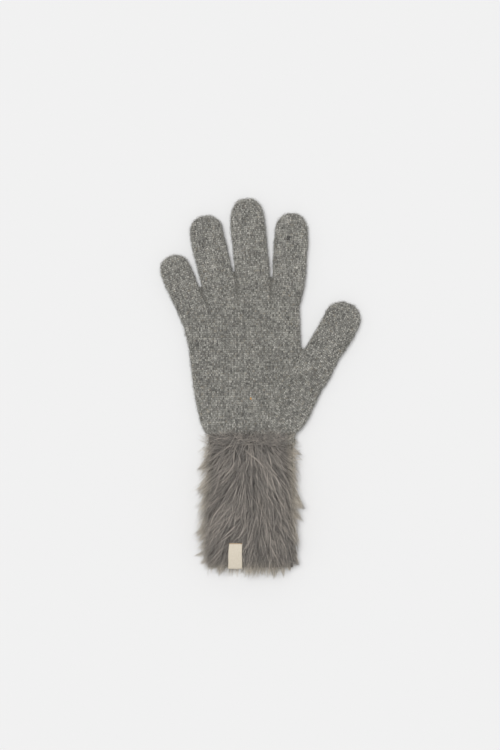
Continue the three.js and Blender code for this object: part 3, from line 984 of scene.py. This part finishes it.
# %% Hairs
UNDERNEATH = -0.4  # where the backing faces down by more than this, hair lies under the cuff
UNDER_FRINGE = 12 * MM
ROOT_STRAY = 0.6 * MM
CURL = 1.15 * MM
below = facing_up < UNDERNEATH
per_clump = np.where(facing_up < 0.55, 3, 4) - (np.abs(facing_up) < 0.3)
per_clump[below] = rng.random(clumps)[below] < 0.5
per_clump[below & (clump_y < HEM_Y + UNDER_FRINGE)] = 3
own = np.repeat(np.arange(clumps), per_clump)
hairs = len(own)
hair_turn = around_evenly((clump_share[own] + rng.normal(0, ROOT_STRAY, hairs) / CUFF_GIRTH) % 1)
hair_y = np.clip(clump_y[own] + rng.normal(0, ROOT_STRAY, hairs), HEM_Y + 0.3 * MM, SEAM_Y - 0.2 * MM)
hair_paths = fur_paths(hair_turn, hair_y, clump["bend"][own] + rng.normal(0, 0.09, hairs),
                       clump["lift"][own] * rng.uniform(0.72, 1.12, hairs),
                       clump["long"][own] * rng.uniform(0.7, 1.1, hairs),
                       clump["loose"][own] + 1.5 - rng.gamma(1.7, 1.6, hairs))
clump_paths = fur_paths(clump_turn, clump_y, **clump)
drawn = np.where(strand, 0.93, 0.8)[own][:, None, None] * np.clip(STEPS / 0.6, 0, 1)[None, :, None]
single = rng.random(hairs) < np.where(np.abs(facing_up[own]) < 0.5, 0.45, 0.2)
drawn = drawn * np.where(single, 0.2, 1)[:, None, None]
hair_paths = hair_paths * (1 - drawn) + clump_paths[own] * drawn

# A soft curl across each clump, so that the strands run in waves.
curl = rng.uniform(0, 2 * math.pi, clumps)[own][:, None]
swing = np.sin(curl + STEPS[None] * rng.uniform(3.2, 6.5, clumps)[own][:, None])
swing = (swing - np.sin(curl)) * (CURL * STEPS)
ahead = unit(np.gradient(hair_paths, axis=1))
sideways = unit(np.cross(ahead, facing_out(hair_turn, hair_y)[:, None]))
hair_paths += sideways * swing[..., None]
print(hairs, "hairs, of them single:", int(single.sum()))

# %% [markdown]
# A few tufts are so large that they shape the outline. They are placed one by one: hairs near the
# middle of a tuft's roots are turned to one tip.

# %% Pointed tufts
# The middle of each tuft's roots, its tip, and how wide it is, in mm.
TUFTS = [
    dict(root=(31, -97), tip=(44.7, -107.1), wide=4.4),
    dict(root=(29.5, -108), tip=(43.4, -116.4), wide=2.8),
    dict(root=(32, -60), tip=(42, -64), wide=2.2),
    dict(root=(34.2, -143.6), tip=(39.6, -152.6), wide=2.8),
    dict(root=(-32.6, -70.7), tip=(-43.2, -76), wide=2.8),
    dict(root=(-34.3, -85.6), tip=(-44.2, -93), wide=2.8),
    dict(root=(-34.3, -122.8), tip=(-44.6, -126.6), wide=3),
    dict(root=(-34.5, -141), tip=(-46.1, -145), wide=2.2),
    dict(root=(-33.5, -147), tip=(-40.6, -150.5), wide=2.2),
    dict(root=(-22, -150), tip=(-25, -160.6), wide=2.4),
    dict(root=(20, -151), tip=(19.2, -163.4), wide=2.6),
    dict(root=(27, -150), tip=(26.8, -161.8), wide=2.2),
    dict(root=(29.8, -146.5), tip=(31.8, -156.8), wide=2.8),
]
for tuft in TUFTS:
    root, tip = np.array(tuft["root"]) * MM, np.array(tuft["tip"]) * MM
    gap = np.linalg.norm(hair_paths[:, 0, :2] - root, axis=1) / (tuft["wide"] * MM)
    mine = np.where(rng.random(hairs) < 0.85 * np.exp(-0.5 * gap**2))[0]
    aim = (tip - hair_paths[mine, 0, :2]) * rng.uniform(0.7, 1, (len(mine), 1))
    aim = (aim + rng.normal(0, 0.35 * MM, aim.shape))[:, None]
    hair_paths[mine, :, :2] = hair_paths[mine, :1, :2] + aim * STEPS[:, None] ** np.array([0.95, 1.15])
print("pointed tufts:", len(TUFTS))

# %% [markdown]
# Under the cuff the hairs are squeezed between it and the surface. Around the label the fur is pressed
# down, and nothing runs through its fold. A few short hairs at the seam lie over the end of the
# knitting, so that the seam doesn't show as a line.

# %% The surface below, the label and the seam
LABEL = dict(left=-17.4 * MM, right=-6.2 * MM, top=-132.7 * MM, fold=-154.1 * MM)


def tape_underside(x, y):
    """How high hairs may rise under the label and around it."""
    under = np.interp(-y, [-LABEL["top"], 142.5 * MM, 149.1 * MM, -LABEL["fold"]],
                      [17.7 * MM, 17.1 * MM, 15.0 * MM, 13.6 * MM])
    beside = np.maximum(np.maximum(LABEL["left"] - x, x - LABEL["right"]), 0)
    above = np.maximum(y - LABEL["top"], 0)
    return under - 0.35 * MM + 1.4 * np.maximum(beside - 0.3 * MM, 0) + 0.9 * above


low_enough = tape_underside(hair_paths[..., 0], hair_paths[..., 1])
hair_paths[..., 2] = np.minimum(hair_paths[..., 2], np.maximum(low_enough, CUFF_HIGH - 1.2 * MM))
under_cuff = facing_out(hair_turn, hair_y)[:, 2] < UNDERNEATH
hair_paths[under_cuff, 1:, 2] = np.minimum(hair_paths[under_cuff, 1:, 2], CUFF_LOW * 0.8)

central = np.abs(hair_paths[:, 0, 0] - CUFF_X) < 31 * MM
seam_hairs = (rng.random(hairs) < 0.62) & (hair_y > SEAM_Y - 9 * MM) & ~under_cuff & central
turned = rng.uniform(1.3, 2.8, hairs) * np.sign(rng.normal(size=hairs))
over_seam = np.stack([np.sin(turned), -np.cos(turned)], axis=1)[:, None] * STEPS[None, :, None]
over_seam = over_seam * (rng.uniform(4.5, 10, (hairs, 1, 1)) * MM)
hair_paths[seam_hairs, :, :2] = hair_paths[seam_hairs, :1, :2] + over_seam[seam_hairs]
straight = ~seam_hairs
hair_paths[straight, :, 1] = np.minimum(hair_paths[straight, :, 1], SEAM_Y - 0.1 * MM)
hair_paths[..., 2] = np.maximum(hair_paths[..., 2], 0.3 * MM)
print("hairs under the cuff and over the seam:", int(under_cuff.sum()), int(seam_hairs.sum()))

# %% [markdown]
# A hair that would still run through the tape, or over it, is left out. Each hair is followed in fine
# steps, because its few bends could lie on both sides of the tape.

# %% Hairs parted at the label
fine = np.linspace(0, 1, 17)
dense = np.stack([[np.interp(fine, STEPS, p[:, k]) for k in range(3)] for p in hair_paths])
dense = dense.transpose(0, 2, 1)
within = (dense[..., 0] > LABEL["left"] - 0.3 * MM) & (dense[..., 0] < LABEL["right"] + 0.3 * MM)
through_fold = within & (dense[..., 1] < LABEL["fold"] + 1.4 * MM) & (dense[..., 2] > 8 * MM)
over_tape = (within & (dense[..., 1] < LABEL["top"])
             & (dense[..., 2] > tape_underside(dense[..., 0], dense[..., 1]) + 0.2 * MM))
kept = ~(through_fold | over_tape).any(axis=1)
print("hairs parted at the label:", int((~kept).sum()))

# %% [markdown]
# Towards the outline, where hairs stand against the pale surface below, they are thinner, and an
# attribute tells their material to make them paler. They are joined into four pieces, because one
# piece would have too many triangles.

# %% Fur pieces
PIECE_LIMIT = 195000
HAIR_RADIUS = (0.12, 0.18)  # in mm
THINNER_OUT = 0.62  # how much thinner a hair is whose tip lies at the outline
OUTER_RIM = 7 * MM
# Where the paler rim starts, left and right: mm below the middle of the palm, and metres across.
LEFT_RIM = [(90, 0.03), (105, 0.0325)]
RIGHT_RIM = [(50, 0.0275), (80, 0.029), (120, 0.031), (150, 0.036)]
THIRDS = (0.34, 0.67)


def fur_piece(name, chosen):
    """One piece of the chosen hairs."""
    chosen = np.where(chosen)[0]
    most = PIECE_LIMIT // len(long_hair[1])
    assert len(chosen) <= most, (name, len(chosen), most)
    count = len(chosen)
    paths = hair_paths[chosen]
    left = -down_cuff(paths[..., 1], *LEFT_RIM) - paths[..., 0]
    right = paths[..., 0] - down_cuff(paths[..., 1], *RIGHT_RIM)
    past_hem = (HEM_Y + 4.5 * MM - paths[..., 1]) * 0.9
    outer = np.clip(np.maximum(np.maximum(left, right), past_hem) / OUTER_RIM, 0, 1)
    thick = rng.uniform(*HAIR_RADIUS, (count, 1)) * MM * (1 - THINNER_OUT * outer[:, -1:])
    radii = thick * np.array([[1, 1, 0.85, 0.55, 0]])
    # The short hairs near the seam are less dark at their roots: their painted root shade is weaker there.
    matted = 0.55 * near_seam(hair_y[chosen])[:, None]
    tip = long_hair[0][:, 2][None]
    spots = bent_hairs(long_hair, paths, radii, facing_out(hair_turn[chosen], hair_y[chosen]))
    spots[..., 2] = np.maximum(spots[..., 2], 0.05 * MM)
    shade = np.clip(clump_shade[own[chosen]] + rng.normal(0, 0.22, count), 0, 1)
    step = np.rint(long_hair[0][:, 2] * 4).astype(int)
    return joined_piece(name, spots, long_hair[1], shade=shade[:, None],
                        tip=tip + (1 - tip) * matted, edge=outer[:, step])


share_along = (SEAM_Y - hair_y) / (SEAM_Y - HEM_Y)
on_top = kept & ~under_cuff
fur = [
    fur_piece("fur_upper", on_top & (share_along < THIRDS[0])),
    fur_piece("fur_middle", on_top & (share_along >= THIRDS[0]) & (share_along < THIRDS[1])),
    fur_piece("fur_lower", on_top & (share_along >= THIRDS[1])),
    fur_piece("fur_under", kept & under_cuff),
]

# %% [markdown]
# The label is a woven tape, folded over the hem. It starts as a grid, is laid along its line as seen
# from the side, and gets its thickness. A grid comes with a flat map of itself, which the weave
# follows round the fold. A row of thread holds the tape's top end on the pile.

# %% The label
TAPE_WIDTH = 11.2 * MM
TAPE_THICKNESS = 0.7 * MM
TAPE_CELLS = (14, 70)  # cells across and along
TAPE_TOP_Z = 18.32 * MM
# The tape's middle line seen from the side, (y, z) in mm: down over the pile, round the hem, inside.
TAPE_LINE = [(-132.9, 18.3), (-138, 18.35), (-142.5, 17.85), (-149.1, 15.8), (-152.6, 14.35),
             (-153.5, 13.6), (-153.75, 12.3), (-153.5, 11.0), (-152.8, 10.5), (-144.5, 10.4), (-137.9, 10.4)]


def smooth_line(line, count):
    """Evenly spaced places on a line with its corners rounded."""
    line = np.array(line) * MM
    for _ in range(3):
        inner = np.stack([0.75 * line[:-1] + 0.25 * line[1:], 0.25 * line[:-1] + 0.75 * line[1:]], axis=1)
        line = np.concatenate([line[:1], inner.reshape(-1, 2), line[-1:]])
    walked = running_total(np.linalg.norm(np.diff(line, axis=0), axis=1))
    even = np.linspace(0, walked[-1], count)
    return np.stack([np.interp(even, walked, line[:, k]) for k in (0, 1)], axis=1), walked[-1]


bpy.ops.mesh.primitive_grid_add(x_subdivisions=TAPE_CELLS[0], y_subdivisions=TAPE_CELLS[1], size=1)
label = settle(new_piece("hem_tape"))
flat = places(label)
run, tape_length = smooth_line(TAPE_LINE, TAPE_CELLS[1] + 1)
row = np.rint((0.5 - flat[:, 1]) * TAPE_CELLS[1]).astype(int)
tape_x = (LABEL["left"] + LABEL["right"]) / 2
laid = np.stack([tape_x + flat[:, 0] * TAPE_WIDTH, run[row, 0], run[row, 1]], axis=1)
# Along the front its two edges curl down a little.
laid[:, 2] -= 0.25 * MM * (2 * flat[:, 0]) ** 4 * (row < 40)
# No cut tape is quite straight: its sides waver a little, and its top's left corner is turned in.
waver = 0.14 * MM * np.sin(row / 5.2 + 2.0)
laid[:, 0] += waver + 0.8 * MM * (0.5 - flat[:, 0]) * np.clip(1 - row / 30, 0, 1)
laid[:, 1] -= 0.35 * MM * np.abs(flat[:, 0] + 0.2) * (row < 30)
move_to(label, laid)
finish_with(label, "SOLIDIFY", thickness=TAPE_THICKNESS, offset=0, use_rim=True)
label.data.shade_smooth()
print("tape:", round(tape_length / MM, 1), "mm long,", triangle_count(label), "triangles")

# %% [markdown]
# The row of thread is made from the same little cylinder as a leg of a stitch, laid end to end.

# %% The label's stitches
def thread_row(name, start, end, count, length, thick, normal):
    """A row of short stitches of thread between two places."""
    where = np.linspace(0, 1, count)[:, None]
    middle = np.array(start) * (1 - where) + np.array(end) * where
    run = unit(np.array(end) - np.array(start))
    across = np.cross(run, normal)
    x, y, z = leg_spots.T
    turn = rng.normal(0, 0.12, (count, 1, 1))
    spots = (middle[:, None] + (z * length)[None, :, None] * (run + turn * across)
             + (x * thick)[None, :, None] * across + (y * thick)[None, :, None] * np.array(normal))
    return joined_piece(name, spots, leg_corners)


edge_z = TAPE_TOP_Z + TAPE_THICKNESS / 2
row_y = LABEL["top"] - 0.75 * MM
tape_stitches = thread_row("tape_stitches", (LABEL["left"] + 1.3 * MM, row_y, edge_z),
                           (LABEL["right"] - 0.6 * MM, row_y, edge_z), 9, 1.3 * MM, 0.66 * MM, (0, 0, 1))

# %% [markdown]
# The materials are built from nodes. What several of them share sits in a group, which gives colours
# and heights only; the shader itself stays in each material.

# %% Node helpers
def add(tree, kind, inputs=None, **settings):
    """Add a node, set it, and give its inputs a value or a link."""
    node = tree.nodes.new("ShaderNode" + kind)
    for key, value in settings.items():
        setattr(node, key, value)
    for key, value in (inputs or {}).items():
        if isinstance(value, bpy.types.NodeSocket):
            tree.links.new(value, node.inputs[key])
        else:
            node.inputs[key].default_value = value
    return node


def maths(tree, operation, a, b=0.0):
    return add(tree, "Math", {0: a, 1: b}, operation=operation).outputs[0]


def mixed(tree, share, a, b, blend="MIX"):
    return add(tree, "Mix", {0: share, 6: a, 7: b}, data_type="RGBA", blend_type=blend).outputs[2]


def noise(tree, vector, scale, detail=2, roughness=0.5):
    settings = {"Vector": vector, "Scale": scale, "Detail": detail, "Roughness": roughness}
    return add(tree, "TexNoise", settings).outputs["Fac"]


def ramp(tree, value, *stops):
    """A colour ramp with stops (place, (red, green, blue))."""
    node = add(tree, "ValToRGB", {0: value})
    while len(node.color_ramp.elements) < len(stops):
        node.color_ramp.elements.new(0.5)
    for element, (place, colour) in zip(node.color_ramp.elements, stops):
        element.position = place
        element.color = (*colour, 1)
    return node.outputs["Color"]


def smooth_step(tree, value, low, high):
    """0 below low, 1 above high, and a smooth step between."""
    node = add(tree, "MapRange", {0: value, 1: low, 2: high}, interpolation_type="SMOOTHSTEP")
    return node.outputs[0]


def new_group(name, inputs, outputs):
    tree = bpy.data.node_groups.new(name, "ShaderNodeTree")
    for socket, kind in inputs.items():
        tree.interface.new_socket(socket, in_out="INPUT", socket_type="NodeSocket" + kind)
    for socket, kind in outputs.items():
        tree.interface.new_socket(socket, in_out="OUTPUT", socket_type="NodeSocket" + kind)
    return tree, tree.nodes.new("NodeGroupInput").outputs, tree.nodes.new("NodeGroupOutput").inputs


def new_material(name, colour, rough):
    material = bpy.data.materials.new(name)
    material.use_nodes = True
    material.diffuse_color = (*colour, 1)
    tree = material.node_tree
    shader = tree.nodes["Principled BSDF"]
    shader.inputs["Base Color"].default_value = (*colour, 1)
    shader.inputs["Roughness"].default_value = rough
    shader.inputs["Specular IOR Level"].default_value = 0.25
    return material, tree, shader


def coordinates(tree):
    return add(tree, "TexCoord").outputs["Object"]


def attribute(tree, name):
    return add(tree, "Attribute", attribute_name=name).outputs["Fac"]


def dress(piece, material):
    piece.data.materials.clear()
    piece.data.materials.append(material)


# %% [markdown]
# Mixed wool is spun from fibres of several greys, with a little beige. Its colour comes from the
# stitch's own shade, from fibres finer than the yarn, and from slow clouds over the whole glove.
# Two materials use it, the stitches' and the fabric's below them, so it is a group.

# %% Group: mixed wool
wool_group, given, result = new_group("mixed_wool", {"Vector": "Vector", "Shade": "Float"},
                                      {"Color": "Color", "Height": "Float"})
fibres = noise(wool_group, given["Vector"], 1050, 3, 0.7)
specks = noise(wool_group, given["Vector"], 560, 1)
clouds = noise(wool_group, given["Vector"], 110, 2)
tone = maths(wool_group, "MULTIPLY", given["Shade"], 0.5)
tone = maths(wool_group, "ADD", tone, maths(wool_group, "MULTIPLY", fibres, 1.2))
tone = maths(wool_group, "ADD", tone, maths(wool_group, "MULTIPLY", clouds, 0.3))
tone = maths(wool_group, "SUBTRACT", tone, 0.515)
grey = ramp(wool_group, tone, (0.0, (0.06, 0.058, 0.053)), (0.3, (0.17, 0.166, 0.151)),
            (0.5, (0.31, 0.303, 0.276)), (0.72, (0.50, 0.488, 0.445)), (1.0, (0.82, 0.795, 0.735)))
beige = maths(wool_group, "MULTIPLY", smooth_step(wool_group, specks, 0.6, 0.72), 0.45)
wool_group.links.new(mixed(wool_group, beige, grey, (0.42, 0.36, 0.27, 1)), result["Color"])
wool_group.links.new(fibres, result["Height"])
print("mixed wool:", len(wool_group.nodes), "nodes")

# %% [markdown]
# The stitches take their shade and their tint from attributes, one value for each leg. The fabric
# between them lies in shadow, so its wool is mixed with a dark grey. Wool scatters light at its edges,
# which the sheen gives.

# %% Wool materials
def grouped(tree, group, **inputs):
    """Place a group in a tree, with its inputs as values or links."""
    return add(tree, "Group", inputs, node_tree=group).outputs


def bumped(tree, shader, height, distance, strength=0.6):
    """Let a height bend the light on a shader's surface."""
    bump = add(tree, "Bump", {"Height": height, "Distance": distance, "Strength": strength})
    tree.links.new(bump.outputs["Normal"], shader.inputs["Normal"])


wool, tree, shader = new_material("heather_wool", (0.28, 0.275, 0.25), 0.92)
out = grouped(tree, wool_group, Vector=coordinates(tree), Shade=attribute(tree, "shade"))
tree.links.new(mixed(tree, attribute(tree, "tint"), out["Color"], (0.85, 0.42, 0.08, 1)),
               shader.inputs["Base Color"])
bumped(tree, shader, out["Height"], 0.12 * MM)
shader.inputs["Sheen Weight"].default_value = 0.18
shader.inputs["Sheen Roughness"].default_value = 0.5

inner_wool, tree, shader = new_material("wool_ground", (0.16, 0.157, 0.145), 0.95)
out = grouped(tree, wool_group, Vector=coordinates(tree), Shade=0.35)
tree.links.new(mixed(tree, 0.35, out["Color"], (0.09, 0.088, 0.08, 1)), shader.inputs["Base Color"])
bumped(tree, shader, out["Height"], 0.15 * MM)

# %% [markdown]
# Each hair is darker at its root, which is painted shade deep in the pile, and paler at its tip, which is
# the fur's own colour; each clump has its own shade. Towards the outline the pale surface below shines
# through the thin hairs, so their colour turns paler there. The backing is a dark woven ground.

# %% Group and material: fur
fur_group, given, result = new_group("fur_colour", {"Shade": "Float", "Tip": "Float", "Edge": "Float"},
                                     {"Color": "Color"})
# Dark roots are painted shade deep in the pile; pale tips are the fur's own colour.
along_hair = ramp(fur_group, given["Tip"], (0.0, (0.14, 0.126, 0.112)), (0.3, (0.29, 0.265, 0.238)),
                  (0.6, (0.385, 0.352, 0.317)), (1.0, (0.44, 0.403, 0.365)))
lightness = ramp(fur_group, given["Shade"], (0.0, (0.5, 0.5, 0.5)), (0.5, (0.98, 0.98, 0.98)),
                 (1.0, (1.8, 1.77, 1.74)))
deep = mixed(fur_group, 1.0, along_hair, lightness, "MULTIPLY")
pale = maths(fur_group, "MULTIPLY", given["Edge"], 0.85)
fringe = ramp(fur_group, given["Shade"], (0.0, (0.36, 0.315, 0.25)), (0.35, (0.70, 0.632, 0.52)),
              (0.7, (0.97, 0.895, 0.765)))
fur_group.links.new(mixed(fur_group, pale, deep, fringe), result["Color"])

fur_material, tree, shader = new_material("faux_fur", (0.25, 0.235, 0.21), 0.55)
out = grouped(tree, fur_group, Shade=attribute(tree, "shade"), Tip=attribute(tree, "tip"),
              Edge=attribute(tree, "edge"))
tree.links.new(out["Color"], shader.inputs["Base Color"])
shader.inputs["Sheen Weight"].default_value = 0.25

ground, tree, shader = new_material("fur_ground", (0.09, 0.085, 0.077), 0.95)
weave = noise(tree, coordinates(tree), 900, 2)
tree.links.new(ramp(tree, weave, (0.3, (0.10, 0.093, 0.084)), (0.7, (0.18, 0.168, 0.152))),
               shader.inputs["Base Color"])
bumped(tree, shader, weave, 0.2 * MM)

# %% [markdown]
# The tape is a plain weave of undyed cotton. Warp and weft cross a little over twice a millimetre, and
# the pattern follows the tape's own map, so that it runs round the fold.

# %% Group and material: woven tape
tape_group, given, result = new_group("plain_weave", {"Vector": "Vector"},
                                      {"Color": "Color", "Height": "Float"})
parts = add(tape_group, "SeparateXYZ", {0: given["Vector"]}).outputs
warp = maths(tape_group, "SINE", maths(tape_group, "MULTIPLY", parts[0], 2 * math.pi * 13))
weft = maths(tape_group, "SINE", maths(tape_group, "MULTIPLY", parts[1], 2 * math.pi * 44))
crossing = maths(tape_group, "MULTIPLY", warp, weft)
slubs = noise(tape_group, given["Vector"], 18, 3)
height = maths(tape_group, "ADD", crossing, slubs)
cotton = ramp(tape_group, maths(tape_group, "MULTIPLY_ADD", crossing, 0.25),
              (0.0, (0.60, 0.535, 0.42)), (1.0, (0.80, 0.735, 0.62)))
tape_group.links.new(mixed(tape_group, 0.25, cotton, ramp(tape_group, slubs, (0.3, (0.55, 0.48, 0.37)),
                                                          (0.7, (0.86, 0.80, 0.69)))), result["Color"])
tape_group.links.new(height, result["Height"])

tape, tree, shader = new_material("cotton_tape", (0.72, 0.65, 0.52), 0.85)
out = grouped(tree, tape_group, Vector=add(tree, "UVMap").outputs["UV"])
tree.links.new(out["Color"], shader.inputs["Base Color"])
bumped(tree, shader, out["Height"], 0.06 * MM, 0.5)

thread, tree, shader = new_material("tan_thread", (0.42, 0.25, 0.12), 0.7)
twist = noise(tree, coordinates(tree), 1800, 1)
tree.links.new(ramp(tree, twist, (0.3, (0.33, 0.18, 0.08)), (0.7, (0.5, 0.32, 0.17))),
               shader.inputs["Base Color"])

# %% [markdown]
# Every piece now gets its material and is tied to the frame. The three pieces that stand for a solid
# replace it, and the rest ride along. The glove has no moving parts, so all ride on the root.

# %% Dress the pieces and tie them to the frame
dress(hand, inner_wool)
for piece in [*knitted, wool_fuzz]:
    dress(piece, wool)
for piece in fur:
    dress(piece, fur_material)
dress(backing, ground)
dress(label, tape)
dress(tape_stitches, thread)

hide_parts("knit_hand")
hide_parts("fur_cuff")
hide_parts("hem_label")
everything = [hand, *knitted, wool_fuzz, backing, *fur, label, tape_stitches]
for piece in everything:
    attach(piece, "root")
print("triangles in all:", sum(triangle_count(p) for p in everything))

# %% [markdown]
# The floor is plain and pale. Soft light falls from nearly overhead, and a little from all around, so
# that shadows stay faint. The camera looks straight down.

# %% Floor, light and camera
FLOOR_SIZE = 6
VIEW_HEIGHT = 0.6  # metres of the floor from the top of the picture to its bottom
LENS, SENSOR = 100, 36  # a long lens, in mm, so that the glove is seen almost without perspective
bpy.ops.mesh.primitive_plane_add(size=FLOOR_SIZE)
floor = new_piece("floor")
pale, tree, shader = new_material("pale_floor", (0.86, 0.86, 0.86), 0.9)
floor.data.materials.append(pale)

world = bpy.data.worlds.new("studio")
world.use_nodes = True
world.node_tree.nodes["Background"].inputs[0].default_value = (1, 1, 1, 1)
world.node_tree.nodes["Background"].inputs[1].default_value = 0.36
bpy.context.scene.world = world

bpy.ops.object.light_add(type="SUN", location=(-0.5, 0.5, 2.5))
soft_box = bpy.context.object
soft_box.data.energy = 2.12
soft_box.data.angle = math.radians(34)
soft_box.rotation_euler = (math.radians(-7), math.radians(-8), 0)

bpy.ops.object.camera_add(location=(0, 0, VIEW_HEIGHT * LENS / SENSOR), rotation=(0, 0, 0))
camera = bpy.context.object
camera.data.lens = LENS
camera.data.sensor_fit = "VERTICAL"
camera.data.sensor_height = SENSOR
camera.data.sensor_width = SENSOR
bpy.context.scene.camera = camera
bpy.context.scene.view_settings.view_transform = "Standard"
print("camera at", round(camera.location.z, 3), "m above the floor")
